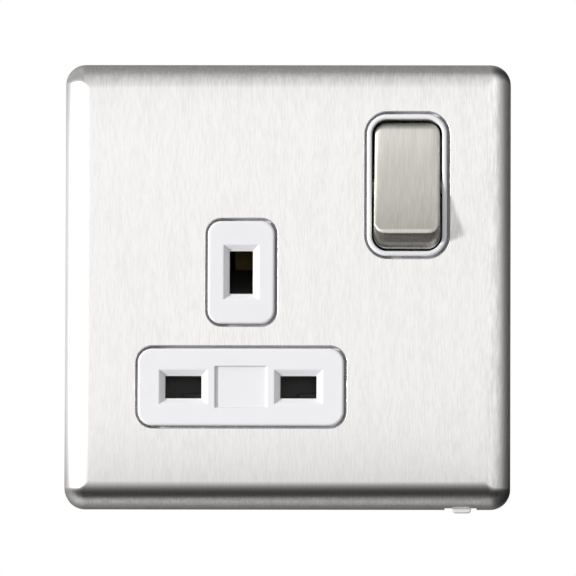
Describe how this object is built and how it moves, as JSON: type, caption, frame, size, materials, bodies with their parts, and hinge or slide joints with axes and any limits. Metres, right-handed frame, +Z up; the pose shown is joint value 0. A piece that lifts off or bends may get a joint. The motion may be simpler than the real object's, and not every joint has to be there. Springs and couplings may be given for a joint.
{
  "type": "switched socket",
  "caption": "Square wall socket outlet with a brushed steel cover plate, white islands around its pin apertures and a metal-capped rocker switch.",
  "frame": {"origin": "centre of the front plate, on the plane of the wall", "axes": "+X to the right as seen from the room, +Y into the wall, +Z up"},
  "size_m": [0.0862, 0.0293, 0.0869],
  "materials": {
    "plate_steel": "satin, fine upright brushing",
    "white_moulding": "smooth moulded white",
    "housing_plastic": "moulded dark grey, fine texture",
    "rocker_steel": "satin, fine upright brushing",
    "rocker_plastic": "smooth moulded white",
    "plunger_plastic": "natural nylon",
    "spring_steel": "bright drawn wire",
    "contact_brass": "pressed strip",
    "contact_silver": "plain silver alloy",
    "terminal_brass": "machined",
    "screw_steel": "zinc plated",
    "shutter_plastic": "dark moulded nylon"
  },
  "bodies": {
    "base": {"front_moulding": "white_moulding", "rear_housing": "housing_plastic", "fixed_tip": "contact_silver", "line_contact": "contact_brass", "line_feed": "contact_brass", "neutral_contact": "contact_brass", "earth_contact": "contact_brass", "plate_earth_spring": "contact_brass", "line_terminal": "terminal_brass", "neutral_terminal": "terminal_brass", "earth_terminal": "terminal_brass", "terminal_screws": "screw_steel", "housing_screws": "screw_steel", "fixing_screws": "screw_steel", "shutter_spring": "spring_steel"},
    "plate": {"front_plate": "plate_steel"},
    "rocker": {"rocker_body": "rocker_plastic", "rocker_cap": "rocker_steel", "plunger_spring": "spring_steel"},
    "plunger": {"plunger": "plunger_plastic"},
    "arm": {"switch_arm": "contact_brass", "moving_tip": "contact_silver"},
    "shutter": {"shutter": "shutter_plastic"}
  },
  "joints": [
    {"name": "rocker_tilt", "type": "hinge", "parent": "base", "child": "rocker", "pos_m": [0.0231, -0.004, 0.0193], "axis": [1, 0, 0], "range_deg": [0, 20]},
    {"name": "arm_tilt", "type": "hinge", "parent": "base", "child": "arm", "pos_m": [0.0231, 0.00845, 0.0193], "axis": [1, 0, 0], "range_deg": [-24, 0]},
    {"name": "plunger_press", "type": "slide", "parent": "rocker", "child": "plunger", "axis": [0, -0.9848, 0.1736], "range_m": [0, 0.0006], "stiffness_N_per_m": 600},
    {"name": "shutter_drop", "type": "slide", "parent": "base", "child": "shutter", "axis": [0, 0, -1], "range_m": [0, 0.0054], "stiffness_N_per_m": 80, "springref_m": -0.003, "deforming": ["shutter_spring"]},
    {"name": "plate_pull", "type": "slide", "parent": "base", "child": "plate", "axis": [0, -1, 0], "range_m": [0, 0.015]}
  ],
  "couplings": [
    {"joint": "arm_tilt", "follows": "rocker_tilt", "ratio": -1.2}
  ]
}
